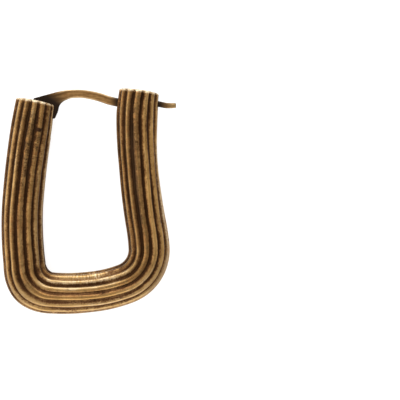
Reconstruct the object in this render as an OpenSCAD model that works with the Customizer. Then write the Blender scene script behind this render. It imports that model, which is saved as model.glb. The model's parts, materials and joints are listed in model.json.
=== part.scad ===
// Rectangular earring: a fluted brass tube bent into a tall open hoop, lying on its side.
// X runs across the earring from the hinge arm to the catch arm, Y from its bottom run to
// the ear wire, Z up from the surface that it lies on. The origin is under its middle.

/* [Hoop] */
// Depth of the fluted tube from front to back, over its ribs
tube_depth = 6.2; // [5.8:0.1:6.6]
// Number of ribs around the tube
rib_count = 14; // [10:1:16]
// Depth of the grooves between the ribs
groove_depth = 0.5; // [0.2:0.05:0.6]
// Length of the rounding at each closed end
end_round = 0.36; // [0.24:0.02:0.6]

/* [Slots] */
// Width of the hinge slot, front to back
hinge_slot_w = 1.2; // [1.15:0.05:1.4]
// Depth of the hinge slot, down from the end of the hinge arm
hinge_slot_depth = 4.85; // [3.6:0.05:6]
// Reach of the hinge slot past the middle of the arm, toward the outer side
hinge_slot_reach = 1.9; // [1.8:0.05:2.2]
// Width of the catch slot, front to back
catch_slot_w = 1.25; // [1.2:0.05:1.4]
// Height of the catch slot's floor above the middle of the earring
catch_floor = 13.9; // [13:0.1:14]

/* [Ear wire] */
// Thickness of the hinge plate
plate_t = 1; // [0.8:0.05:1]
// Radius of the plate's eye around the pin
eye_r = 1.25; // [1:0.05:1.4]
// Thickness of the wire at its arch, front to back
wire_t = 1.2; // [1:0.05:1.3]

/* [Hinge pin] */
// Diameter of the pin
pin_d = 0.9; // [0.7:0.05:1]
// Gap all round between the pin and the eye of the plate
pin_gap = 0.04; // [0.02:0.01:0.08]
// Place of the pin across the earring
pin_x = -7.1; // [-7.3:0.1:-6.9]
// Place of the pin above the middle of the earring
pin_y = 13.55; // [13.35:0.05:13.75]

/* [Hidden] */

mid_z = tube_depth / 2;
tube_r = tube_depth / 2;
past = 1;

// The tube's middle line starts at the top of the hinge arm and runs down it
arm_top = [-8.17, 15.1];
arm_heading = -101;
hinge_slot_heading = -100;

// Stretches of the tube's middle line: its length, how far it turns to the left, the half
// widths at its far end toward the outside and the inside of the hoop, the angle at its far
// end of the groove next to the front line, and how many steps it is made in
LENGTH = 0;
TURN = 1;
OUTER = 2;
INNER = 3;
GROOVE = 4;
STEPS = 5;
top_section = [0, 0, 3.12, 3.06, -14];
stretches = [
    [3.7, 2, 3.18, 3.28, -13, 2],
    [12, 5, 3.18, 3.21, -10, 4],
    [9.5, 10, 3.09, 3.43, -9, 3],
    [1.6, 19.75, 3.38, 3.43, -7.5, 3],
    [1.6, 19.75, 3.62, 3.35, -6, 3],
    [1.6, 19.5, 3.4, 3.26, -4.5, 3],
    [1.6, 19.5, 3.2, 3.15, -2.5, 3],
    [6, 11.5, 3.02, 3.23, 0, 2],
    [5.7, 16, 3.12, 3.14, 2, 3],
    [3.5, 35.25, 3.24, 3.13, 3, 5],
    [3.5, 35.25, 3.24, 3.15, 4, 5],
    [3.6, 7.5, 3.1, 3.17, 6, 2],
    [9.2, -5, 3.02, 3.09, 14, 3],
    [7.8, -7, 3.24, 3.27, 12, 3],
    [3.4, -5.5, 3.14, 3.13, 10, 2]
];

// Shape of one rib: place across it from groove to groove, and share of the groove's depth
rib_shape = [[0, 1], [0.1, 0.82], [0.25, 0.36], [0.5, 0], [0.75, 0.36], [0.9, 0.82]];

// Rounding of a closed end: share of its length, size of the section, share of the grooves
end_shape = [[0.4, 0.989, 0.6], [0.75, 0.954, 0.1], [0.95, 0.895, 0], [1, 0.7, 0]];

// Middle line of the wire from the plate to its free tip: place, half height, half thickness
// as a share of the arch's
wire_line = [
    [-5.3, 15.8, 0.6, 0.7],
    [-4, 16.05, 0.86, 0.85],
    [-2.2, 16.5, 0.64, 1],
    [-0.6, 16.46, 0.62, 1],
    [1.5, 16.03, 0.65, 1],
    [3.4, 15.43, 0.64, 0.95],
    [5.5, 15.03, 0.62, 0.87],
    [8, 14.97, 0.56, 0.83],
    [10, 15.02, 0.44, 0.8],
    [10.9, 14.92, 0.38, 0.74],
    [12.2, 14.7, 0.38, 0.67],
    [13.3, 14.71, 0.35, 0.58],
    [13.45, 14.71, 0.26, 0.4]
];
wire_sides = 12;
wire_steps = 3;

// Outline of the hinge plate from its outer corner along the top, then back under the arch
plate_top = [[-8.5, 15.8], [-6.4, 16.38], [-5, 16.76], [-4, 16.96], [-3, 17.1]];
plate_under = [
    [-2.9, 15.74],
    [-3.6, 15.46],
    [-4.25, 15.02],
    [-4.62, 14.35],
    [-4.86, 13.5],
    [-5.35, 12.72]
];

// The pin is driven in from the back and stops short of the front
pin_back = 0.5;
pin_front = mid_z + 1.8;
pin_sink = 0.1;

function heading_at(i) = i == 0 ? arm_heading : heading_at(i - 1) + stretches[i - 1][TURN];
function along(p, h, len, turn) =
    p + len * 180 / (PI * turn) * [sin(h + turn) - sin(h), cos(h) - cos(h + turn)];
function place_at(i) =
    i == 0 ? arm_top
    : along(place_at(i - 1), heading_at(i - 1), stretches[i - 1][LENGTH], stretches[i - 1][TURN]);
function section_before(i) = i == 0 ? top_section : stretches[i - 1];
function blend(a, b, f) = a + (b - a) * f;

// One station of the tube: place, heading, the two half widths and the groove angle
function station(i, f) =
    let (row = stretches[i], old = section_before(i), h = heading_at(i))
    let (p = f == 0 ? place_at(i) : along(place_at(i), h, row[LENGTH] * f, row[TURN] * f))
    [p, h + row[TURN] * f, blend(old[OUTER], row[OUTER], f), blend(old[INNER], row[INNER], f),
        blend(old[GROOVE], row[GROOVE], f)];

last_stretch = len(stretches) - 1;
stations = [
    for (i = [0 : last_stretch])
        for (k = [0 : stretches[i][STEPS] - 1])
            station(i, k / stretches[i][STEPS]),
    station(last_stretch, 1)
];

// Points of the fluted section, moved along the heading, scaled, with part of its grooves
function section(s, shift, size, flute) = [
    for (rib = [0 : rib_count - 1])
        for (point = rib_shape)
            let (a = s[4] + 360 * (rib + point[0]) / rib_count)
            let (r = size * (1 - flute * point[1] * groove_depth / tube_r))
            let (side = r * sin(a) * (sin(a) > 0 ? s[2] : s[3]))
            [
                s[0][0] + shift * cos(s[1]) + side * sin(s[1]),
                s[0][1] + shift * sin(s[1]) - side * cos(s[1]),
                mid_z + r * tube_r * cos(a)
            ]
];

// A closed solid through rings that all have the same number of points
module skin(rings) {
    n = len(rings[0]);
    last = len(rings) - 1;
    points = [for (ring = rings) each ring];
    sides = [
        for (j = [0 : last - 1])
            for (i = [0 : n - 1])
                let (a = j * n + i, b = j * n + (i + 1) % n)
                each [[a, b + n, b], [a, a + n, b + n]]
    ];
    polyhedron(points, concat(
        [[for (i = [0 : n - 1]) i]],
        sides,
        [[for (i = [n - 1 : -1 : 0]) last * n + i]]
    ), convexity = 6);
}

module fluted_tube() {
    first = stations[0];
    final = stations[len(stations) - 1];
    steps = len(end_shape) - 1;
    skin(concat(
        [for (k = [steps : -1 : 0])
            section(first, -end_round * end_shape[k][0], end_shape[k][1], end_shape[k][2])],
        [for (s = stations) section(s, 0, 1, 1)],
        [for (k = [0 : steps])
            section(final, end_round * end_shape[k][0], end_shape[k][1], end_shape[k][2])]
    ));
}

// Saw cut in the middle of the hinge arm, open at its end and toward the inside
module hinge_slot() {
    translate([arm_top[0], arm_top[1], mid_z])
        rotate([0, 0, hinge_slot_heading])
            translate([-past, -hinge_slot_reach, -hinge_slot_w / 2])
                cube([past + hinge_slot_depth, hinge_slot_reach + tube_depth, hinge_slot_w]);
}

// Saw cut right across the catch arm, open at its end
module catch_slot() {
    translate([0, catch_floor, mid_z - catch_slot_w / 2])
        cube([2 * tube_depth, tube_depth, catch_slot_w]);
}

module hoop() {
    color("#b08850")
        difference() {
            fluted_tube();
            hinge_slot();
            catch_slot();
            translate([pin_x, pin_y, -past])
                cylinder(d = pin_d, h = past + pin_front, $fn = 48);
        }
}

// Points between four rows of the wire's line, on a smooth curve through the middle two
function smooth(a, b, c, d, f) =
    0.5 * (2 * b + (c - a) * f + (2 * a - 5 * b + 4 * c - d) * f * f
        + (3 * b - a - 3 * c + d) * f * f * f);
last_row = len(wire_line) - 1;
wire_stations = [
    for (i = [0 : last_row - 1])
        for (k = [0 : wire_steps - 1])
            smooth(wire_line[max(i - 1, 0)], wire_line[i], wire_line[i + 1],
                wire_line[min(i + 2, last_row)], k / wire_steps),
    wire_line[last_row]
];

function wire_ring(i) =
    let (s = wire_stations[i])
    let (before = wire_stations[max(i - 1, 0)])
    let (after = wire_stations[min(i + 1, len(wire_stations) - 1)])
    let (h = atan2(after[1] - before[1], after[0] - before[0]))
    [for (k = [0 : wire_sides - 1])
        let (a = 360 * k / wire_sides)
        [
            s[0] + s[2] * sin(a) * sin(h),
            s[1] - s[2] * sin(a) * cos(h),
            mid_z + s[3] * wire_t / 2 * cos(a)
        ]];

module hinge_plate() {
    translate([0, 0, mid_z - plate_t / 2]) {
        linear_extrude(height = plate_t)
            polygon(concat(plate_top, plate_under, [[pin_x, pin_y - eye_r], [pin_x - eye_r, pin_y]]));
        translate([pin_x, pin_y, 0])
            cylinder(r = eye_r, h = plate_t, $fn = 64);
    }
}

module ear_wire() {
    color("#6b4b2a")
        difference() {
            union() {
                hinge_plate();
                skin([for (i = [0 : len(wire_stations) - 1]) wire_ring(i)]);
            }
            translate([pin_x, pin_y, 0])
                cylinder(d = pin_d + 2 * pin_gap, h = tube_depth, $fn = 48);
        }
}

module hinge_pin() {
    color("#8a6a3c")
        translate([pin_x, pin_y, pin_back])
            cylinder(d = pin_d, h = pin_front - pin_sink - pin_back, $fn = 48);
}

hoop();
ear_wire();
hinge_pin();
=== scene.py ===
import json
import math

import bmesh
import bpy
import numpy as np
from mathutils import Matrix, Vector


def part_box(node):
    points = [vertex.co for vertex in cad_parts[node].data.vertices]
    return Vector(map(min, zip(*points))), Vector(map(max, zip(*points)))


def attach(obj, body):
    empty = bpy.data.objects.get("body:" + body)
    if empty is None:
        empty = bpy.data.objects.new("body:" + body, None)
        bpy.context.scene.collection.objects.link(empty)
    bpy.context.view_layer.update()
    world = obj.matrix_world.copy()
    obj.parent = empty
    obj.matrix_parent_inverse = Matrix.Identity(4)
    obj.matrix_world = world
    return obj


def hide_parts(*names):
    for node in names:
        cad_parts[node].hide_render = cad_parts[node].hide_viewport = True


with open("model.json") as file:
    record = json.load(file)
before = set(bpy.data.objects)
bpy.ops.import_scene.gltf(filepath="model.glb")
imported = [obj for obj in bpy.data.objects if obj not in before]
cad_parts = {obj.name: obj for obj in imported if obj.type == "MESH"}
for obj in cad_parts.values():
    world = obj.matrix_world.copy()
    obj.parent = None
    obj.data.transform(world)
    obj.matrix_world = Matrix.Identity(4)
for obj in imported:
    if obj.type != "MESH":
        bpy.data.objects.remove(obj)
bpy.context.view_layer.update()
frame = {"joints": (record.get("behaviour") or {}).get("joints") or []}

# Lengths are in millimetres until a mesh is made, unless a comment says metres. Angles are in
# degrees
MM = 0.001


def from_frame(value):
    """A length of the frame in millimetres."""
    return round(value / MM, 3)


# The hoop's design

# It lies on the floor, so its box is as high as the tube is deep
TUBE_DEPTH = from_frame(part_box("hoop")[1][2])
TUBE_R = TUBE_DEPTH / 2
MID_Z = TUBE_DEPTH / 2
RIBS = 14
RIB_ANGLE = 360 / RIBS
GROOVE_DEPTH = 0.5
END_ROUND = 0.36

# The saw cut down the hinge arm's end: it reaches outward from the arm's middle line, and from its
# mouth it opens by the flare toward the inside of the hoop
HINGE_SLOT_W = 1.2
HINGE_SLOT_DEPTH = 4.85
HINGE_SLOT_REACH = 1.9
HINGE_SLOT_HEADING = -100
SLOT_MOUTH = 2.1
SLOT_FLARE = 0.28
# The saw cut across the catch arm's end
CATCH_SLOT_W = 1.25
CATCH_FLOOR = 13.9
# How far a cutter stands out of the tube at its end and at its side
PAST_END = 1
PAST_SIDE = 0.4
# Faces nearer the tube's middle line than this share of its radius were cut
CUT_SIZE = 0.82

# The tube's middle line starts at the hinge arm's top and is a row of arcs. Columns: length, turn
# to the left, half width outward, half width inward, angle of the front groove
ARM_TOP = (-8.17, 15.1)
ARM_HEADING = -101
TOP_SECTION = (0, 0, 3.12, 3.06, -14)
STRETCHES = (
    (3.7, 2, 3.18, 3.28, -13),
    (12, 5, 3.18, 3.21, -10),
    (9.5, 10, 3.09, 3.43, -9),
    (1.6, 19.75, 3.38, 3.43, -7.5),
    (1.6, 19.75, 3.62, 3.35, -6),
    (1.6, 19.5, 3.4, 3.26, -4.5),
    (1.6, 19.5, 3.2, 3.15, -2.5),
    (6, 11.5, 3.02, 3.23, 0),
    (5.7, 16, 3.12, 3.14, 2),
    (3.5, 35.25, 3.24, 3.13, 3),
    (3.5, 35.25, 3.24, 3.15, 4),
    (3.6, 7.5, 3.1, 3.17, 6),
    (9.2, -5, 3.02, 3.09, 14),
    (7.8, -7, 3.24, 3.27, 12),
    (3.4, -5.5, 3.14, 3.13, 10),
)
STATION_GAP = 0.18
# Length over which a change of width or groove angle is softened
SOFT_LENGTH = 1.4

# Places across one rib, from groove to groove. A groove is a curve with a half width, in shares of
# a rib, and a power
RIB_PLACES = (0, 0.045, 0.09, 0.15, 0.23, 0.35, 0.5, 0.65, 0.77, 0.85, 0.91, 0.955)
GROOVE_HALF = 0.24
GROOVE_POWER = 2

# Rounding of a closed end. Columns: share of its length, size of the section, share of the grooves
END_RINGS = (
    (0.12, 0.999, 0.97), (0.28, 0.995, 0.82), (0.42, 0.988, 0.6), (0.55, 0.978, 0.38),
    (0.67, 0.965, 0.2), (0.78, 0.948, 0.08), (0.87, 0.928, 0.02), (0.94, 0.905, 0),
    (0.99, 0.875, 0), (1.02, 0.83, 0), (1.04, 0.7, 0), (1.06, 0.4, 0), (1.07, 0.2, 0),
    (1.075, 0.04, 0),
)
# How much rounder the ends are at the tube's two sides, as a power of the size
SIDE_ROUND = 2.0

# The grooves' fine wander: lengths of its waves along the tube, and its greatest angle
SEED = 14
WANDER_WAVES = (31.0, 11.0)
WANDER_ANGLE = 0.9
# The change of their depth: lengths of its waves, and half of its whole range
DEPTH_WAVES = (17.0, 6.0)
DEPTH_CHANGE = 0.09
# Where a groove strays further. Columns: its number from the front one, length along the tube,
# half length of the place, angle
STRAYS = (
    (-2, 3, 6, -1), (-1, 12, 14, -1.6), (-1, 2, 4, -1.5), (0, 6, 6, -2.4), (0, 20, 8, -1.7),
    (1, 9, 12, 1.4), (-2, 37, 6, 4), (1, 50, 12, 1.4), (-2, 64, 9, -4), (-1, 64, 9, -5.5),
    (0, 60, 9, 1.6), (1, 62, 6, 4), (2, 63, 7, 4), (-1, 24, 4, -3), (0, 24, 4, -1.5),
    (-1, 6, 6, -2), (2, 70.5, 2.5, -2.5), (-1, 75.5, 2.5, 3.5), (0, 75.5, 2.5, 5),
    (1, 75.5, 2.5, 4),
)
# Where all the grooves turn a little around the tube. Columns: length along it, half length, angle
TWISTS = ((29.3, 2.8, 2.3), (47.3, 5, 3.4))


# The pin's design, from its CAD solid and the hinge's axis
pin_low, pin_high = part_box("hinge_pin")
PIN = tuple(from_frame(v) for v in frame["joints"][0]["pos_m"][:2])
PIN_D = from_frame(pin_high[0] - pin_low[0])
PIN_BACK = from_frame(pin_low[2])
PIN_FRONT = from_frame(pin_high[2])
# Its rounded ends. Columns: how far in from its side, how far from its end
PIN_BACK_ROUND = ((0.35, 0), (0.135, 0.02), (0.036, 0.08), (0, 0.2))
PIN_FRONT_ROUND = ((0, 0.15), (0.045, 0.04), (0.18, 0), (0.4, 0))
PIN_SIDES = 40
# Play of the ear wire's eye on the pin, and room past the pin's front in its bore
PIN_GAP = 0.04
PIN_ROOM = 0.1
BORE_SIDES = 48


# The ear wire's design
PLATE_T = 1
PLATE_BEVEL = 0.12
BEVEL_STEPS = 3
EYE_R = 1.25
# Half height of the cutter that makes the eye's hole
EYE_CUT = 2
WIRE_T = 1.2
# Middle line of the wire. Columns: X, Y, half height, thickness as a share of the arch's
WIRE_LINE = (
    (-5.3, 15.8, 0.6, 0.7), (-4, 16.14, 0.76, 0.85), (-3.1, 16.4, 0.68, 0.95),
    (-2.2, 16.5, 0.65, 1), (-0.6, 16.45, 0.64, 1), (1.5, 16.02, 0.67, 1), (3.4, 15.41, 0.67, 0.95),
    (5.5, 15.02, 0.62, 0.87), (8, 14.97, 0.56, 0.83), (10, 14.99, 0.48, 0.8),
    (10.9, 14.9, 0.45, 0.74), (11.8, 14.72, 0.44, 0.7), (12.6, 14.68, 0.42, 0.64),
    (13.2, 14.7, 0.39, 0.6), (13.38, 14.7, 0.36, 0.54), (13.45, 14.7, 0.26, 0.4),
)
# X and Y of the plate's upper and lower edge, each a smooth curve. The eye's arc joins them
PLATE_TOP = ((-8.5, 15.8), (-6.4, 16.38), (-5, 16.76), (-4, 16.96), (-3, 17.1), (-2, 17.1))
PLATE_UNDER = (
    (-1.9, 16), (-2.9, 15.84), (-3.3, 15.66), (-3.82, 15.38), (-4.31, 14.95), (-4.56, 14.5),
    (-4.76, 13.7), (-5.2, 12.72),
)
PLATE_STEPS = 4
EYE_ANGLES = range(270, 180, -6)
WIRE_SIDES = 28
WIRE_STEPS = 12
# Power of the wire's section: 2 is an ellipse, and more is fuller
WIRE_FULLNESS = 2.6
# The plate and the wire are melted into one: size of a voxel, share and number of smoothings
REMESH = 0.045
CALM_SHARE = 0.5
CALM_TIMES = 6
# Edges between faces that turn by more than this stay sharp, and the plate's are bevelled
SHARP_EDGE = 50


# The hoop's wear, and the light and shade painted on it

# Polish of the arms, the bottom run and the ends, with painted sheen on the sides that face the
# lamps. Columns: angle around the tube, half width, polish and painted sheen added
ARM_BASE = 0.12
HINGE_POLISH_AND_SHEEN = (
    (-74, 7, 0.55), (-42, 6, 0.42), (-17, 7, 0.15), (-2, 6, 0.2), (12, 7, -0.6), (35, 12, 0.3),
    (58, 12, 0.25),
)
CATCH_POLISH_AND_SHEEN = (
    (-64, 10, 0.1), (-36, 10, 0.05), (-9, 7, -0.7), (5, 5, 0.2), (24, 8, 0.35), (46, 9, 0.4),
    (82, 8, 1.0),
)
RUN_BASE = 0.55
RUN_POLISH_AND_SHEEN = (
    (-58, 9, 0.05), (-33, 7, 0.3), (-17, 4, 0.35), (-7, 6, -0.35), (8, 8, -0.4), (22, 5, 0.05),
    (35, 8, 0.1), (47, 6, -0.15), (60, 12, -0.05),
)
END_POLISH = 0.3
# How much lighter the grooves of the bottom run are, cleaner and with painted reflected light, in
# the same columns
CLEAN_AND_LIT_BASE = 0.3
RUN_CLEAN_AND_LIT = ((-48, 9, 0.9), (-24, 7, -0.05), (2, 8, 0.3), (28, 8, 0.28), (54, 9, 0.1))
# How ragged the tarnish's edge is on the arms, and how much more so on the bottom run
RAGGED_BASE = 0.85
RAGGED_RUN = 0.25

# Lengths over which the bottom run's wear and painted sheen start and end, on the outer side and
# on the inner side, and angles over which the one turns into the other
RUN_STARTS = (26.0, 30.5)
RUN_ENDS = (42.0, 49.0)
INNER_STARTS = (29.3, 34.0)
INNER_ENDS = (39.5, 45.0)
INWARD_ANGLES = (25, 60)
# Where one arm's wear and painted light give way to the other's, and half of the length over
# which they do
RUN_MIDDLE = 37
RUN_CHANGE = 5

# Painted shade on the tube's sides: the outer one on the hinge arm, the inner one at the left
# corner
OUTER_FLANK_ANGLES = (77, 86)
OUTER_FLANK_ENDS = (18, 27)
INNER_FLANK_ANGLES = (76, 86)
INNER_FLANK_STARTS = (14, 22)
INNER_FLANK_ENDS = (30, 34)
INNER_FLANK = 0.8

# Near a closed end, in shares of its rounding: where the grooves' tarnish fades, where the painted
# highlight of the rim starts, where the flat face starts, and where the finish starts to close in
# with the section
GROOVES_FADE = (-0.7, 0.4)
RIM_STARTS = (-0.2, 0.4)
FLAT_STARTS = (0.85, 1.0)
FINISH_CLOSES = (0.3, 0.9)
# Sizes of the section over which the rim's painted highlight starts, how much of it a groove takes
# away, and the size inside which nothing is a groove
RIM_SIZES = (0.8, 0.93)
RIM_LOSS = 0.8
CORE_SIZE = 0.7

# How far out on the sides the grooves' tarnish and painted shade are drawn, in shares of a rib, its
# change from arm to arm, and the angles over which it starts
FAR_WALL = 0.08
FAR_WALL_CHANGE = 0.035
FAR_WALL_ANGLES = (48, 68)

# From here to the scuffs, the tables have these columns: length along the tube, angle around it,
# half length, half width, amount. These are places where tarnish and painted shade lie further out
LEANS = (
    (60, 33, 15, 24, -0.03), (60, 58, 17, 14, -0.16), (60, 80, 17, 10, -0.1),
    (37, 18, 8, 24, 0.1), (14, -52, 12, 14, 0.09), (27, -54, 3, 12, 0.1), (30, -56, 2, 8, 0.12),
)
# Patches of old tarnish
PATINA = (
    (6.5, -10, 6, 7, 0.8), (19, -9, 7, 5, 0.4), (60, -14, 9, 8, 0.9), (70, -16, 4, 5, 0.6),
    (66, -2, 6, 6, 0.3), (27, 17, 4, 6, 0.3), (40, 24, 7, 6, 0.5), (42, 4, 5, 5, 0.4),
    (7, -26, 2.8, 8, 0.55), (4.5, 5, 5, 9, 0.3), (5, 10, 5, 5, 0.3), (9, 1, 4, 5, 0.25),
    (2.5, 6, 3, 6, 0.35), (69, -7, 5, 4, 0.35), (60, -8, 8, 4, 0.25),
)
# A black stain on the hinge arm
STAINS = ((4.05, -25, 0.3, 11, 1.0), (5.6, -24, 1.6, 5, 0.4))
# Pale edges painted as highlights and reflections, the first of them at the mouth of the hinge slot
EDGE_HIGHLIGHTS = (
    (2.4, -77, 2.6, 3.5, 0.4), (47, 68, 3, 6, 0.15), (55, 70, 6, 5, 0.4), (28.3, 56, 2.5, 5, 0.12),
    (17, -74, 9, 4, 0.3),
)
# Places where the grooves' dark lies wider or, below zero, narrower
DARK_SPREAD = (
    (29, -54, 2.6, 22, 0.14), (12, -32, 13, 4, 0.12), (2.4, -61, 2.6, 6, 0.35),
    (5, 26, 5, 4, 0.15), (24, -26, 4, 4, -0.12), (12, 5, 7, 9, 0.15), (60, -13, 9, 5, 0.15),
    (42.5, -58, 2.2, 7, 0.3), (68.5, 29, 3.5, 5, 0.3), (72.5, 36, 2.5, 5, 0.3),
    (50, 8, 4, 4, 0.2), (30.3, -29, 2, 5, 0.25), (30.3, -58, 2, 10, 0.18),
    (28.3, -28.5, 2, 7, 0.45), (28.3, -41, 2.2, 4, 0.25), (29.3, 55.5, 3.4, 4.5, -0.2),
    (31.5, 46, 3.5, 4.5, 0.18), (46.7, 40, 3, 4.5, -0.15), (46.8, -49, 3, 5, 0.12),
    (47.2, 65, 3.2, 5, -0.25), (47.2, 52, 3.2, 4, 0.15), (28, -11, 1.8, 5, 0.14),
    (28.9, 18, 2, 4, -0.14), (14, -15, 11, 7, 0.06), (68, 5, 6, 8, 0.16), (60, 62, 16, 8, 0.25),
    (71, 60, 4.5, 6, 0.2), (60, -18, 7, 6, 0.15), (36, -20, 7, 5, -0.15), (14, 12, 12, 5, 0.2),
    (64, 9, 9, 5, 0.12), (2.4, -77, 2.6, 4, -0.5), (12, -63, 13, 7, 0.2), (63, 37, 6, 5, 0.35),
)
# Places where the ribs look golden
GILT = (
    (61, 26, 13, 10, 0.8), (36, 17, 6, 9, 0.6), (60, 50, 14, 9, 0.9), (19, -20, 9, 7, 0.6),
    (1.5, -22, 2.6, 8, 0.7), (28.7, 58, 3, 8, 0.6),
)
# Places that are scuffed across
SCUFFS = ((38.5, -58, 4, 26, 1.0), (10, -30, 6, 20, 0.4))


# The ear wire's wear, and the light and shade painted on it

# Painted shade on the plate ends along a line that falls to the right: a place on the line, the
# direction across it, and the distances over which the shade ends
SHADE_PLACE = (-5.44, 15.57)
SHADE_ACROSS = (0.525, 0.851)
SHADE_ENDS = (-0.6, 2.1)
# Spans of X over which painted shade darkens the wire into the catch and lifts again, its bare tip
# starts, its painted edge highlights start, and the lower one fades, with the share that it loses
CATCH_STARTS = (2.8, 4.7)
CATCH_ENDS = (10.6, 13.1)
TIP_STARTS = (11.8, 12.9)
EDGES_START = (-5.4, -2.4)
UNDER_FADES = (0.4, 2)
UNDER_LOSS = 0.7


def smoothstep(low, high, value):
    share = np.clip((value - low) / (high - low), 0, 1)
    return share * share * (3 - 2 * share)


def between(starts, ends, value):
    """Rises from 0 to 1 over the first span, and falls to 0 again over the second."""
    return smoothstep(*starts, value) * (1 - smoothstep(*ends, value))


# The tube's middle line

# Columns of its rows
ALONG, X, Y, HEADING, OUTER, INNER, GROOVE = range(7)


def soften(values, window):
    """The running mean of evenly spaced values."""
    padded = np.concatenate([np.full(window, values[0]), values, np.full(window, values[-1])])
    return np.convolve(padded, np.ones(2 * window + 1) / (2 * window + 1), "valid")


def tube_line():
    """Rows of the middle line, with the columns named above."""
    rows = []
    x, y = ARM_TOP
    heading = ARM_HEADING
    so_far = 0
    old = TOP_SECTION
    for stretch in STRETCHES:
        length, turn = stretch[:2]
        reach = length / math.radians(turn)
        start = math.radians(heading)
        steps = max(2, round(length / STATION_GAP))
        for k in range(steps + 1):
            f = k / steps
            now = start + math.radians(turn) * f
            place = (x + reach * (math.sin(now) - math.sin(start)),
                     y + reach * (math.cos(start) - math.cos(now)))
            if k < steps:
                change = [o + (n - o) * f for o, n in zip(old[2:], stretch[2:])]
                rows.append((so_far + length * f, *place, heading + turn * f, *change))
        x, y = place
        heading += turn
        so_far += length
        old = stretch
    rows.append((so_far, x, y, heading, *old[2:]))
    rows = np.array(rows)
    window = round(SOFT_LENGTH / STATION_GAP / 2)
    for column in (OUTER, INNER, GROOVE):
        rows[:, column] = soften(rows[:, column], window)
    return rows


LINE = tube_line()
TUBE_LENGTH = LINE[-1, ALONG]

# The grooves, each with two waves of wander and two of depth
draw = np.random.default_rng(SEED)
WAVE_PHASE = draw.uniform(0, 2 * math.pi, (RIBS, 4))


def waves(index, along, lengths, first):
    """The sum of a groove's waves, whose phases are in the first column given and the next."""
    k = np.mod(index, RIBS).astype(int)
    return sum(np.sin(2 * math.pi * along / wave + WAVE_PHASE[k, first + i])
               for i, wave in enumerate(lengths))


def groove_wander(index, along):
    """How far each groove strays from its even place, in shares of a rib."""
    angle = waves(index, along, WANDER_WAVES, 0) * WANDER_ANGLE / 2
    for number, place, half_length, amount in STRAYS:
        here = np.mod(index - number, RIBS) == 0
        angle = angle + here * amount * np.exp(-((along - place) / half_length) ** 2)
    for place, half_length, amount in TWISTS:
        angle = angle + amount * np.exp(-((along - place) / half_length) ** 2)
    return angle / RIB_ANGLE


def groove_strength(index, along):
    """How deep each groove is, as a share of the usual depth."""
    return 1 - DEPTH_CHANGE + waves(index, along, DEPTH_WAVES, 2) * DEPTH_CHANGE / 2


def groove_share(across, along):
    """Share of the groove's depth at a place counted in ribs, at a length along the tube."""
    near = np.round(across)
    d = np.abs(across - near)
    edge = 1 / (1 + (0.5 / GROOVE_HALF) ** GROOVE_POWER)
    share = (1 / (1 + (d / GROOVE_HALF) ** GROOVE_POWER) - edge) / (1 - edge)
    return share * groove_strength(near, along)


def ring(row, shift, size, flute):
    """Points of one section, shifted along the tube, at a share of its size and of its grooves."""
    along, x, y, heading, outer, inner, groove = row
    across = np.array([rib + place for rib in range(RIBS) for place in RIB_PLACES])
    low = np.floor(across)
    part = across - low
    moved = across + (1 - part) * groove_wander(low, along) + part * groove_wander(low + 1, along)
    angle = np.radians(groove + RIB_ANGLE * moved)
    share = flute * groove_share(across, np.full_like(across, along))
    r = size ** (1 + SIDE_ROUND * np.sin(angle) ** 2) * (1 - share * GROOVE_DEPTH / TUBE_R)
    side = r * np.sin(angle) * np.where(np.sin(angle) > 0, outer, inner)
    h = math.radians(heading)
    return np.stack([
        x + shift * math.cos(h) + side * math.sin(h),
        y + shift * math.sin(h) - side * math.cos(h),
        MID_Z + r * TUBE_R * np.cos(angle),
    ], 1)


# Solids
def add_object(name, data):
    obj = bpy.data.objects.new(name, data)
    bpy.context.scene.collection.objects.link(obj)
    return obj


def mesh_from(name, points, faces):
    mesh = bpy.data.meshes.new(name)
    mesh.from_pydata([tuple(p) for p in points], [], faces)
    mesh.update()
    return mesh


def skin(rings):
    """Points and faces of a closed body through rings that have the same number of points."""
    n = len(rings[0])
    count = len(rings)
    points = np.concatenate(rings)
    faces = []
    for j in range(count - 1):
        for i in range(n):
            a = j * n + i
            b = j * n + (i + 1) % n
            faces.append((a, b, b + n, a + n))
    faces.append(tuple(reversed(range(n))))
    faces.append(tuple((count - 1) * n + i for i in range(n)))
    return points, faces


def make_solid(name, points, faces):
    """An object in metres from points in millimetres, its faces turned outward."""
    obj = add_object(name, mesh_from(name, np.asarray(points) * MM, faces))
    work = bmesh.new()
    work.from_mesh(obj.data)
    bmesh.ops.recalc_face_normals(work, faces=work.faces)
    work.to_mesh(obj.data)
    work.free()
    return obj


def bar_solid(name, outline, start, end, origin=(0, 0), heading=0):
    """A bar along a heading, with an outline across it: rows of place to the left and height."""
    h = math.radians(heading)
    rings = []
    for u in (start, end):
        rings.append(np.array([
            (origin[0] + u * math.cos(h) - v * math.sin(h),
             origin[1] + u * math.sin(h) + v * math.cos(h), z) for v, z in outline]))
    return make_solid(name, *skin(rings))


def lathe_solid(name, profile, centre, sides):
    """A closed body of revolution about Z from rows of radius and height."""
    turns = [2 * math.pi * k / sides for k in range(sides)]
    rings = []
    for r, z in profile:
        rings.append(np.array([
            (centre[0] + r * math.cos(t), centre[1] + r * math.sin(t), z) for t in turns]))
    return make_solid(name, *skin(rings))


def bake_modifiers(obj):
    """Applies the object's modifiers to its mesh."""
    graph = bpy.context.evaluated_depsgraph_get()
    mesh = bpy.data.meshes.new_from_object(obj.evaluated_get(graph))
    obj.modifiers.clear()
    old = obj.data
    obj.data = mesh
    bpy.data.meshes.remove(old)


def cut(obj, cutters):
    """Takes each cutter out of the object, and removes it."""
    for cutter in cutters:
        mod = obj.modifiers.new("cut", "BOOLEAN")
        mod.operation = "DIFFERENCE"
        mod.solver = "EXACT"
        mod.object = cutter
        bake_modifiers(obj)
        bpy.data.objects.remove(cutter)


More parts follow.
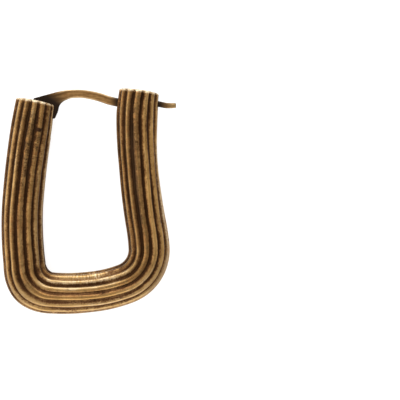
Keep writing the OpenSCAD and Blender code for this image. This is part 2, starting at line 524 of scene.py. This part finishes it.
def read_vectors(items, name):
    """A vector of each vertex or face, as rows of three numbers."""
    flat = np.empty(len(items) * 3, np.float32)
    items.foreach_get(name, flat)
    return flat.reshape(-1, 3).astype(float)


def put_attributes(mesh, table):
    """Writes named numbers or vectors at each point of the mesh, for its material to read."""
    for name, values in table.items():
        single = values.ndim == 1
        layer = mesh.attributes.new(name, "FLOAT" if single else "FLOAT_VECTOR", "POINT")
        layer.data.foreach_set("value" if single else "vector", values.astype(np.float32).ravel())


# The hoop
def hinge_slot():
    half = HINGE_SLOT_W / 2
    edge = ((-HINGE_SLOT_REACH, half), (SLOT_MOUTH, half),
            (TUBE_R + PAST_SIDE, half + SLOT_FLARE))
    outline = [(place, MID_Z - rise) for place, rise in edge]
    outline += [(place, MID_Z + rise) for place, rise in reversed(edge)]
    return bar_solid("hinge_slot", outline, -PAST_END, HINGE_SLOT_DEPTH, ARM_TOP,
                     HINGE_SLOT_HEADING)


def catch_slot():
    half = CATCH_SLOT_W / 2
    top = LINE[-1, Y] + PAST_END
    outline = [(CATCH_FLOOR, MID_Z - half), (CATCH_FLOOR, MID_Z + half),
               (top, MID_Z + half), (top, MID_Z - half)]
    return bar_solid("catch_slot", outline, 0, 2 * TUBE_DEPTH)


def pin_bore():
    r = PIN_D / 2
    return lathe_solid("pin_bore", ((r, -PAST_END), (r, PIN_FRONT + PIN_ROOM)), PIN, BORE_SIDES)


def make_hoop():
    """The fluted tube with its closed, rounded ends, the two saw cuts and the pin's bore."""
    rings = [ring(LINE[0], -END_ROUND * share, size, flute)
             for share, size, flute in reversed(END_RINGS)]
    rings += [ring(row, 0, 1, 1) for row in LINE]
    rings += [ring(LINE[-1], END_ROUND * share, size, flute) for share, size, flute in END_RINGS]
    made = make_solid("fluted_hoop", *skin(rings))
    cut(made, [hinge_slot(), catch_slot(), pin_bore()])
    return made


# How many points are compared with the middle line at one time
POINTS_AT_ONCE = 4000


def tube_place(points):
    """For points in millimetres: length along the tube, angle around it and size of section."""
    found = []
    for start in range(0, len(points), POINTS_AT_ONCE):
        p = points[start:start + POINTS_AT_ONCE]
        gap = (p[:, None, 0] - LINE[None, :, X]) ** 2 + (p[:, None, 1] - LINE[None, :, Y]) ** 2
        row = LINE[np.argmin(gap, 1)]
        h = np.radians(row[:, HEADING])
        dx, dy = p[:, 0] - row[:, X], p[:, 1] - row[:, Y]
        side = dx * np.sin(h) - dy * np.cos(h)
        share = side / np.where(side > 0, row[:, OUTER], row[:, INNER])
        rise = (p[:, 2] - MID_Z) / TUBE_R
        along = row[:, ALONG] + dx * np.cos(h) + dy * np.sin(h)
        found.append((along, np.degrees(np.arctan2(share, rise)), np.hypot(share, rise)))
    return [np.concatenate(column) for column in zip(*found)]


def bumps(rows, angle):
    """The sum of bumps around the tube."""
    return sum(amount * np.exp(-((angle - middle) / width) ** 2) for middle, width, amount in rows)


def patches(rows, along, angle):
    """The sum of patches on the tube, which are flatter and end more steeply than bumps."""
    return sum(amount * np.exp(-((along - s) / length) ** 4 - ((angle - a) / width) ** 4)
               for s, a, length, width, amount in rows)


def tarnish_and_shade_lean(along, angle, front):
    """How far out the grooves' dark is drawn: on the sides it lies on the far wall of each groove,
    as tarnish and painted shade."""
    lean = FAR_WALL - FAR_WALL_CHANGE * np.tanh((along - RUN_MIDDLE) / RUN_CHANGE) * np.sign(front)
    lean = lean * np.sign(front) * smoothstep(*FAR_WALL_ANGLES, np.abs(front))
    lean = lean + patches(LEANS, along, front)
    return lean * np.where(np.abs(angle) > 90, -1, 1)


def share_of_run(along, front):
    """1 on the bottom run and 0 on the arms."""
    outer = between(RUN_STARTS, RUN_ENDS, along)
    inner = between(INNER_STARTS, INNER_ENDS, along)
    inward = smoothstep(*INWARD_ANGLES, -front)
    return inward * inner + (1 - inward) * outer


# Polish of the ribs, with painted sheen on the sides that face the lamps
def rib_polish_and_sheen(along, front, run):
    second = smoothstep(RUN_MIDDLE - RUN_CHANGE, RUN_MIDDLE + RUN_CHANGE, along)
    arms = (1 - second) * bumps(HINGE_POLISH_AND_SHEEN, front) + second * bumps(CATCH_POLISH_AND_SHEEN, front)
    polish_and_sheen = (1 - run) * (ARM_BASE + arms)
    polish_and_sheen += run * (RUN_BASE + bumps(RUN_POLISH_AND_SHEEN, front))
    return np.clip(polish_and_sheen, 0, 1)


# Painted shade on the tube's sides
def painted_flank_shade(along, front):
    outer = smoothstep(*OUTER_FLANK_ANGLES, front) * (1 - smoothstep(*OUTER_FLANK_ENDS, along))
    corner = between(INNER_FLANK_STARTS, INNER_FLANK_ENDS, along)
    return outer + INNER_FLANK * smoothstep(*INNER_FLANK_ANGLES, -front) * corner


def dress_hoop(obj):
    """Writes where each point lies on the tube, how worn it is and where light and shade are
    painted, for the hoop's materials.
    """
    along, angle, size = tube_place(read_vectors(obj.data.vertices, "co") / MM)
    inside = np.clip(along, 0, TUBE_LENGTH)
    across = (angle - np.interp(along, LINE[:, ALONG], LINE[:, GROOVE])) / RIB_ANGLE
    across = across - groove_wander(np.round(across), inside)
    # A place on the back is worn as the place straight in front of it
    front = np.where(np.abs(angle) > 90, 180 - np.abs(angle), np.abs(angle)) * np.sign(angle)
    run = share_of_run(along, front)
    # What depends on the angle alone stops where the flat face of a closed end starts
    over = np.maximum(-along, along - TUBE_LENGTH) / END_ROUND
    side = 1 - smoothstep(*FLAT_STARTS, over)

    relief = groove_share(across - tarnish_and_shade_lean(along, angle, front), inside)
    relief = relief * (1 - smoothstep(*GROOVES_FADE, over))
    # The finish is drawn on the tube as it would be if it were straight and round
    reach = TUBE_R * (1 + (size - 1) * smoothstep(*FINISH_CLOSES, over))
    # Painted highlight on the rim, where the rounded end turns up to the light
    around = np.radians(angle)
    rim_highlight = smoothstep(*RIM_STARTS, over) * smoothstep(*RIM_SIZES, size)
    rim_highlight = rim_highlight * np.clip(1 - RIM_LOSS * groove_share(across, inside), 0, 1)
    put_attributes(obj.data, {
        "relief": np.where(size < CORE_SIZE, 0, relief),
        "straight": np.stack([along, reach * np.sin(around), reach * np.cos(around)], 1),
        "rim_highlight": np.maximum(rim_highlight, patches(EDGE_HIGHLIGHTS, along, angle)),
        "polish_and_sheen": END_POLISH + side * (rib_polish_and_sheen(along, front, run) - END_POLISH),
        "clean_and_lit": np.clip(run * (CLEAN_AND_LIT_BASE + bumps(RUN_CLEAN_AND_LIT, front)), 0, 1),
        "ragged": RAGGED_BASE + RAGGED_RUN * run,
        "patina": side * np.clip(patches(PATINA, along, angle), 0, 1),
        "stain": np.clip(patches(STAINS, along, angle), 0, 1),
        "dark_spread": side * patches(DARK_SPREAD, along, angle),
        "gilt": side * np.clip(patches(GILT, along, angle), 0, 1),
        "scuff": np.clip(patches(SCUFFS, along, angle), 0, 1),
        "flank_shade": side * painted_flank_shade(along, front),
    })


def paint_cuts(obj):
    """Gives the faces inside the tube, which the saw and the drill made, the second material."""
    along, _, size = tube_place(read_vectors(obj.data.polygons, "center") / MM)
    inside = (size < CUT_SIZE) & (along > 0) & (along < TUBE_LENGTH)
    obj.data.polygons.foreach_set("material_index", inside.astype(np.int32))


# The ear wire
def smooth_curve(rows, steps):
    """A smooth curve through rows of numbers, several steps from one to the next."""
    rows = np.array(rows, float)
    out = []
    last = len(rows) - 1
    for i in range(last):
        a, b, c, d = rows[max(i - 1, 0)], rows[i], rows[i + 1], rows[min(i + 2, last)]
        for k in range(steps):
            f = k / steps
            out.append(0.5 * (2 * b + (c - a) * f + (2 * a - 5 * b + 4 * c - d) * f * f
                              + (3 * b - a - 3 * c + d) * f * f * f))
    out.append(rows[last])
    return np.array(out)


def make_wire_part():
    rows = smooth_curve(WIRE_LINE, WIRE_STEPS)
    turn = np.arctan2(np.gradient(rows[:, 1]), np.gradient(rows[:, 0]))
    a = 2 * math.pi * np.arange(WIRE_SIDES) / WIRE_SIDES
    power = 2 / WIRE_FULLNESS
    up = np.sign(np.sin(a)) * np.abs(np.sin(a)) ** power
    front = np.sign(np.cos(a)) * np.abs(np.cos(a)) ** power
    rings = []
    for (x, y, half, thickness), h in zip(rows, turn):
        rings.append(np.stack([
            x + half * up * math.sin(h),
            y - half * up * math.cos(h),
            MID_Z + thickness * WIRE_T / 2 * front], 1))
    return make_solid("wire_part", *skin(rings))


def make_plate_part():
    eye = [(PIN[0] + EYE_R * math.cos(math.radians(t)), PIN[1] + EYE_R * math.sin(math.radians(t)))
           for t in EYE_ANGLES]
    outline = [*smooth_curve(PLATE_TOP, PLATE_STEPS), *smooth_curve(PLATE_UNDER, PLATE_STEPS),
               *eye, (PIN[0] - EYE_R, PIN[1])]
    points = [(p[0], p[1], MID_Z + z) for z in (-PLATE_T / 2, PLATE_T / 2) for p in outline]
    n = len(outline)
    faces = [tuple(range(n)), tuple(range(2 * n - 1, n - 1, -1))]
    faces += [(i, n + i, n + (i + 1) % n, (i + 1) % n) for i in range(n)]
    plate = make_solid("plate_part", points, faces)
    soft = plate.modifiers.new("soft", "BEVEL")
    soft.width = PLATE_BEVEL * MM
    soft.segments = BEVEL_STEPS
    soft.limit_method = "ANGLE"
    soft.angle_limit = math.radians(SHARP_EDGE)
    bake_modifiers(plate)
    return plate


def make_ear_wire():
    """The hinge plate and the arched wire melted into one, with the hole of the eye."""
    parts = [make_wire_part(), make_plate_part()]
    both = bpy.data.meshes.new("hinged_ear_wire")
    work = bmesh.new()
    for part in parts:
        work.from_mesh(part.data)
        bpy.data.objects.remove(part)
    work.to_mesh(both)
    work.free()
    made = add_object("hinged_ear_wire", both)
    melt = made.modifiers.new("melt", "REMESH")
    melt.mode = "VOXEL"
    melt.voxel_size = REMESH * MM
    calm = made.modifiers.new("calm", "SMOOTH")
    calm.factor = CALM_SHARE
    calm.iterations = CALM_TIMES
    bake_modifiers(made)
    r = PIN_D / 2 + PIN_GAP
    hole = ((r, MID_Z - EYE_CUT), (r, MID_Z + EYE_CUT))
    cut(made, [lathe_solid("eye_bore", hole, PIN, BORE_SIDES)])
    return made


def dress_wire(obj):
    """Writes each point's place in millimetres, how worn it is and where light and shade are
    painted, for the ear wire's material.
    """
    points = read_vectors(obj.data.vertices, "co") / MM
    x, y = points[:, 0], points[:, 1]
    past = (x - SHADE_PLACE[0]) * SHADE_ACROSS[0] + (y - SHADE_PLACE[1]) * SHADE_ACROSS[1]
    plate_shade = 1 - smoothstep(*SHADE_ENDS, past)
    rows = smooth_curve(WIRE_LINE, WIRE_STEPS)
    middle = np.interp(x, rows[:, 0], rows[:, 1])
    half = np.interp(x, rows[:, 0], rows[:, 2])
    put_attributes(obj.data, {
        "straight": points,
        "shade": np.maximum(plate_shade, between(CATCH_STARTS, CATCH_ENDS, x)),
        "tip": smoothstep(*TIP_STARTS, x),
        # Where the painted highlights on the wire's edges fade and start
        "under": 1 - UNDER_LOSS * smoothstep(*UNDER_FADES, x),
        "edge": smoothstep(*EDGES_START, x),
        "rise": (y - middle) / half,
    })


# The hinge pin
def make_pin():
    r = PIN_D / 2
    profile = [(r - inward, PIN_BACK + rise) for inward, rise in PIN_BACK_ROUND]
    profile += [(r - inward, PIN_FRONT - rise) for inward, rise in PIN_FRONT_ROUND]
    return lathe_solid("hinge_pin_peened", profile, PIN, PIN_SIDES)


# Materials
def linear(r, g, b):
    """A shader colour from the 0 to 255 colour that it should look like."""
    def one(v):
        v /= 255
        return v / 12.92 if v <= 0.04045 else ((v + 0.055) / 1.055) ** 2.4
    return (one(r), one(g), one(b), 1)


# The hoop's ribs, from dull to polished and lit by painted sheen, and the painted highlight on
# its rim and pale edges
RIB_RED = linear(120, 80, 43)
RIB_GREEN = linear(106, 83, 48)
RIB_LIGHT = linear(132, 99, 57)
RIB_WORN_SHEEN = linear(163, 129, 81)
RIB_BRIGHT = linear(208, 184, 146)
GILT_DULL = linear(142, 106, 58)
GILT_BRIGHT = linear(184, 142, 82)
# Painted highlight on the rim and on pale edges
RIM_AND_EDGE_HIGHLIGHT = linear(240, 218, 182)
# Its grooves at their walls and floors, there also where they are cleaner and hold painted
# reflected light
GROOVE_WALL = linear(86, 56, 29)
GROOVE_WALL_CLEAN_LIT = linear(128, 92, 60)
GROOVE_FLOOR = linear(53, 32, 14)
GROOVE_FLOOR_CLEAN_LIT = linear(104, 68, 40)
OLD_TARNISH = linear(56, 38, 22)
BLACK_STAIN = linear(50, 31, 17)
# The sawn faces
SAWN_DARK = linear(46, 30, 17)
SAWN_LIGHT = linear(104, 76, 43)
# The ear wire
ARCH_DULL = linear(112, 79, 44)
ARCH_WORN = linear(142, 107, 64)
# A painted dark band of shade along the arch, and painted highlights on its edges
ARCH_SHADE_BAND = linear(88, 61, 32)
ARCH_EDGE_HIGHLIGHT = linear(208, 180, 136)
ARCH_TIP = linear(140, 113, 74)
# Painted shade on the plate and where the wire enters the catch
WIRE_SHADE = linear(38, 28, 20)
# The pin
PIN_DULL = linear(112, 84, 48)
PIN_BRIGHT = linear(168, 130, 80)

# Places of the Mix node's colour sockets, which share their names with its other sockets
MIX_A, MIX_B, MIX_RESULT = 6, 7, 2


class Tree:
    """A short way to write a material's nodes."""

    def __init__(self, name):
        self.material = bpy.data.materials.new(name)
        self.material.use_nodes = True
        self.nodes = self.material.node_tree.nodes
        self.links = self.material.node_tree.links
        self.shader = self.nodes["Principled BSDF"]

    def put(self, socket, value):
        if isinstance(value, bpy.types.NodeSocket):
            self.links.new(value, socket)
        else:
            socket.default_value = value

    def attribute(self, name, output="Fac"):
        node = self.nodes.new("ShaderNodeAttribute")
        node.attribute_name = name
        return node.outputs[output]

    def scaled(self, vector, scale):
        node = self.nodes.new("ShaderNodeVectorMath")
        node.operation = "MULTIPLY"
        self.put(node.inputs[0], vector)
        node.inputs[1].default_value = scale
        return node.outputs["Vector"]

    def noise(self, vector, scale=1.0, detail=3, rough=0.55):
        node = self.nodes.new("ShaderNodeTexNoise")
        self.put(node.inputs["Vector"], vector)
        node.inputs["Scale"].default_value = scale
        node.inputs["Detail"].default_value = detail
        node.inputs["Roughness"].default_value = rough
        return node.outputs["Fac"]

    def math(self, kind, a, b):
        node = self.nodes.new("ShaderNodeMath")
        node.operation = kind
        self.put(node.inputs[0], a)
        self.put(node.inputs[1], b)
        return node.outputs[0]

    def add(self, first, *rest):
        return self.math("ADD", first, self.add(*rest)) if rest else first

    def times(self, a, b):
        return self.math("MULTIPLY", a, b)

    def swing(self, noise, amount):
        """A noise made to swing about zero."""
        return self.times(self.math("SUBTRACT", noise, 0.5), amount)

    def span(self, value, low, high, to_low=0.0, to_high=1.0, smooth=True):
        node = self.nodes.new("ShaderNodeMapRange")
        node.interpolation_type = "SMOOTHSTEP" if smooth else "LINEAR"
        self.put(node.inputs["Value"], value)
        node.inputs["From Min"].default_value = low
        node.inputs["From Max"].default_value = high
        node.inputs["To Min"].default_value = to_low
        node.inputs["To Max"].default_value = to_high
        return node.outputs["Result"]

    def mix(self, factor, a, b):
        node = self.nodes.new("ShaderNodeMix")
        node.data_type = "RGBA"
        self.put(node.inputs["Factor"], factor)
        self.put(node.inputs[MIX_A], a)
        self.put(node.inputs[MIX_B], b)
        return node.outputs[MIX_RESULT]

    def done(self, colour, metallic, rough, height, distance, strength):
        """Sets the shader, with a bump of a distance in millimetres, and gives the material."""
        bump = self.nodes.new("ShaderNodeBump")
        bump.inputs["Strength"].default_value = strength
        bump.inputs["Distance"].default_value = distance * MM
        self.put(bump.inputs["Height"], height)
        self.put(self.shader.inputs["Base Color"], colour)
        self.shader.inputs["Metallic"].default_value = metallic
        self.put(self.shader.inputs["Roughness"], rough)
        self.put(self.shader.inputs["Normal"], bump.outputs["Normal"])
        return self.material


def fluted_brass():
    t = Tree("fluted_brass")
    straight = t.attribute("straight", "Vector")
    mottle = t.noise(straight, scale=1.3, detail=4)
    patch = t.noise(straight, scale=0.4, detail=2)
    fine = t.noise(straight, scale=5.0, detail=5, rough=0.7)
    streak = t.noise(t.scaled(straight, (0.25, 2.8, 2.8)), detail=5, rough=0.65)
    cross = t.noise(t.scaled(straight, (5.5, 0.9, 0.9)), detail=3, rough=0.6)
    clean_and_lit = t.attribute("clean_and_lit")

    # Tarnish fills the grooves with a ragged edge
    ragged = t.add(t.swing(mottle, 0.7), t.swing(fine, 1.5), t.swing(streak, 1.1))
    depth = t.add(t.attribute("relief"), t.times(ragged, t.attribute("ragged")))
    depth = t.math("SUBTRACT", depth, t.times(clean_and_lit, 0.4))
    depth = t.add(depth, t.attribute("dark_spread"))
    # Painted shade darkens the tube's sides
    depth = t.add(depth, t.times(t.attribute("flank_shade"), 0.55))
    wall = t.span(depth, low=0.02, high=0.52)
    floor = t.span(depth, low=0.35, high=0.88)

    # The ribs are polished unevenly, and painted sheen lights the sides that face the lamps
    wear_and_sheen = t.add(t.attribute("polish_and_sheen"), t.swing(streak, 1.6), t.swing(patch, 0.8),
                 t.swing(fine, 0.9))
    wear_and_sheen = t.add(wear_and_sheen, t.times(t.attribute("scuff"), t.swing(cross, 3.0)))
    dull = t.mix(t.span(mottle, low=0.4, high=0.62), RIB_RED, RIB_GREEN)
    dull = t.mix(t.span(cross, low=0.35, high=0.65), dull, RIB_LIGHT)
    crest = t.mix(t.span(wear_and_sheen, low=0.0, high=0.55), dull, RIB_WORN_SHEEN)
    crest = t.mix(t.span(wear_and_sheen, low=0.45, high=1.1), crest, RIB_BRIGHT)
    gilt = t.mix(t.span(wear_and_sheen, low=0.0, high=0.8), GILT_DULL, GILT_BRIGHT)
    crest = t.mix(t.attribute("gilt"), crest, gilt)
    # A painted highlight on the rim and along pale edges
    rim_highlight = t.times(t.attribute("rim_highlight"), t.span(mottle, low=0.32, high=0.52, to_low=0.5))
    crest = t.mix(rim_highlight, crest, RIM_AND_EDGE_HIGHLIGHT)
    # The bottom run's grooves are lighter where cleaner and where painted reflected light falls
    colour = t.mix(wall, crest, t.mix(clean_and_lit, GROOVE_WALL, GROOVE_WALL_CLEAN_LIT))
    colour = t.mix(floor, colour, t.mix(clean_and_lit, GROOVE_FLOOR, GROOVE_FLOOR_CLEAN_LIT))

    # Old tarnish and a black stain cover ribs and grooves in places
    cover = t.add(t.attribute("patina"), t.swing(fine, 1.8), t.swing(mottle, 1.4))
    colour = t.mix(t.span(cover, low=0.35, high=0.8, to_high=0.85), colour, OLD_TARNISH)
    black = t.add(t.attribute("stain"), t.swing(fine, 1.6))
    colour = t.mix(t.span(black, low=0.35, high=0.75), colour, BLACK_STAIN)
    rough = t.add(t.span(floor, low=0, high=1, to_low=0.33, to_high=0.6, smooth=False),
                  t.swing(fine, 0.25))
    height = t.add(t.times(streak, 0.7), t.times(fine, 0.6), t.times(cross, 0.3))
    return t.done(colour, metallic=0.95, rough=rough, height=height, distance=0.05, strength=0.7)


def sawn_brass():
    t = Tree("sawn_brass")
    place = t.attribute("straight", "Vector")
    marks = t.noise(t.scaled(place, (3, 14, 14)), detail=3)
    soil = t.noise(place, scale=1.4, detail=4)
    colour = t.mix(t.span(soil, low=0.35, high=0.7), SAWN_DARK, SAWN_LIGHT)
    rough = t.span(marks, low=0.3, high=0.7, to_low=0.45, to_high=0.7, smooth=False)
    return t.done(colour, metallic=0.9, rough=rough, height=marks, distance=0.03, strength=0.7)


def dark_brass():
    t = Tree("dark_brass")
    place = t.attribute("straight", "Vector")
    soil = t.noise(place, scale=1.6, detail=4)
    fine = t.noise(place, scale=8.0, detail=4)
    marks = t.noise(t.scaled(place, (0.5, 4, 4)), detail=3)
    rise = t.attribute("rise")

    # The arch has a painted dark band of shade above its middle line, and painted highlights on its
    # edges
    worn = t.span(t.add(t.times(marks, 0.5), t.times(soil, 0.5)), low=0.36, high=0.64)
    arch = t.mix(worn, ARCH_DULL, ARCH_WORN)
    shade_band = t.times(t.span(rise, low=0.1, high=0.5),
                   t.span(rise, low=0.7, high=0.9, to_low=0.75, to_high=0.0))
    arch = t.mix(shade_band, arch, ARCH_SHADE_BAND)
    upper = t.span(rise, low=0.68, high=0.92, to_high=0.95)
    lower = t.times(t.span(rise, low=-0.95, high=-0.6, to_low=0.75, to_high=0.0),
                    t.attribute("under"))
    # Painted highlights on the upper and lower edges
    edge = t.times(t.math("MAXIMUM", upper, lower), t.attribute("edge"))
    arch = t.mix(edge, arch, ARCH_EDGE_HIGHLIGHT)
    arch = t.mix(t.attribute("tip"), arch, ARCH_TIP)

    # Painted shade covers the plate, and the wire where it enters the catch
    dark = t.span(t.add(t.attribute("shade"), t.swing(soil, 0.2)), low=0.02, high=0.95,
                  smooth=False)
    colour = t.mix(dark, arch, WIRE_SHADE)
    rough = t.add(t.span(dark, low=0, high=1, to_low=0.38, to_high=0.5, smooth=False),
                  t.swing(fine, 0.2))
    height = t.add(t.times(marks, 0.6), t.times(fine, 0.4))
    return t.done(colour, metallic=0.95, rough=rough, height=height, distance=0.03, strength=0.6)


def pin_brass():
    t = Tree("pin_brass")
    coords = t.nodes.new("ShaderNodeTexCoord").outputs["Object"]
    marks = t.noise(t.scaled(coords, (6000, 1500, 1500)), detail=4)
    colour = t.mix(t.span(marks, low=0.35, high=0.65), PIN_DULL, PIN_BRIGHT)
    rough = t.span(marks, low=0.3, high=0.7, to_low=0.32, to_high=0.55, smooth=False)
    return t.done(colour, metallic=0.95, rough=rough, height=marks, distance=0.02, strength=0.5)


# The pieces put together
def paint(obj, *materials):
    """Shades the piece smoothly between its sharp edges, and gives it its materials."""
    for polygon in obj.data.polygons:
        polygon.use_smooth = True
    obj.data.set_sharp_from_angle(angle=math.radians(SHARP_EDGE))
    obj.data.materials.clear()
    for material in materials:
        obj.data.materials.append(material)


hoop = make_hoop()
dress_hoop(hoop)
paint(hoop, fluted_brass(), sawn_brass())
paint_cuts(hoop)
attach(hoop, "hoop_body")
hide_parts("hoop")

wire = make_ear_wire()
dress_wire(wire)
paint(wire, dark_brass())
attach(wire, "wire_body")
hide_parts("ear_wire")

pin = make_pin()
paint(pin, pin_brass())
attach(pin, "hoop_body")
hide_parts("hinge_pin")


# Floor and light, in metres
FLOOR_SIZE = 3.0
FLOOR_GREY = 0.4
STUDIO_GLOW = 0.78
LIGHT_DISTANCE = 0.5
# Columns: name, azimuth, elevation, width and height, brightness
LIGHTS = (
    ("light_above", 90, 32, (0.6, 0.22), 4.2),
    ("light_below", -90, 18, (0.6, 0.3), 2.3),
    ("light_left", 180, 24, (0.4, 0.3), 2.7),
    ("light_right", 0, 18, (0.35, 0.25), 0.4),
    ("light_top", 180, 66, (0.4, 0.4), 0.9),
)


def floor_paint():
    t = Tree("floor_paint")
    t.shader.inputs["Base Color"].default_value = (FLOOR_GREY, FLOOR_GREY, FLOOR_GREY, 1)
    t.shader.inputs["Roughness"].default_value = 0.9
    t.shader.inputs["Specular IOR Level"].default_value = 0.0
    t.shader.inputs["Emission Color"].default_value = (1, 1, 1, 1)
    t.shader.inputs["Emission Strength"].default_value = STUDIO_GLOW
    return t.material


def make_floor():
    half = FLOOR_SIZE / 2
    corners = [(-half, -half, 0), (half, -half, 0), (half, half, 0), (-half, half, 0)]
    made = add_object("floor", mesh_from("floor", corners, [(0, 1, 2, 3)]))
    made.data.materials.append(floor_paint())
    return made


def soft_light(name, azimuth, elevation, size, brightness):
    """A soft box that looks at the earring, with a brightness that doesn't depend on its size."""
    data = bpy.data.lights.new(name, "AREA")
    data.shape = "RECTANGLE"
    data.size, data.size_y = size
    data.energy = brightness * math.pi * size[0] * size[1]
    lamp = add_object(name, data)
    a, e = math.radians(azimuth), math.radians(elevation)
    lamp.location = (LIGHT_DISTANCE * math.cos(e) * math.cos(a),
                     LIGHT_DISTANCE * math.cos(e) * math.sin(a), LIGHT_DISTANCE * math.sin(e))
    lamp.rotation_euler = lamp.location.to_track_quat("Z", "Y").to_euler()


def light_studio():
    world = bpy.data.worlds.new("studio")
    bpy.context.scene.world = world
    world.use_nodes = True
    background = world.node_tree.nodes["Background"]
    background.inputs["Color"].default_value = (1, 1, 1, 1)
    background.inputs["Strength"].default_value = STUDIO_GLOW
    for row in LIGHTS:
        soft_light(*row)


floor = make_floor()
light_studio()
bpy.context.scene.view_settings.view_transform = "Standard"


# The camera looks straight down. The photo's frame is 400 pixels wide and shows 6.5 pixels for
# each millimetre
FRAME_PIXELS = 400
PIXELS_PER_MM = 6.5
VIEW_MIDDLE = (17.12, 0.17)
CAMERA_HEIGHT = 400
SENSOR = 36
# The nearest and furthest that it sees, in metres
CLIP_NEAR = 0.01
CLIP_FAR = 20


def place_camera():
    data = bpy.data.cameras.new("camera")
    data.sensor_width = SENSOR
    data.lens = SENSOR * CAMERA_HEIGHT / (FRAME_PIXELS / PIXELS_PER_MM)
    data.clip_start = CLIP_NEAR
    data.clip_end = CLIP_FAR
    camera = add_object("camera", data)
    camera.location = (VIEW_MIDDLE[0] * MM, VIEW_MIDDLE[1] * MM, (MID_Z + CAMERA_HEIGHT) * MM)
    bpy.context.scene.camera = camera


place_camera()
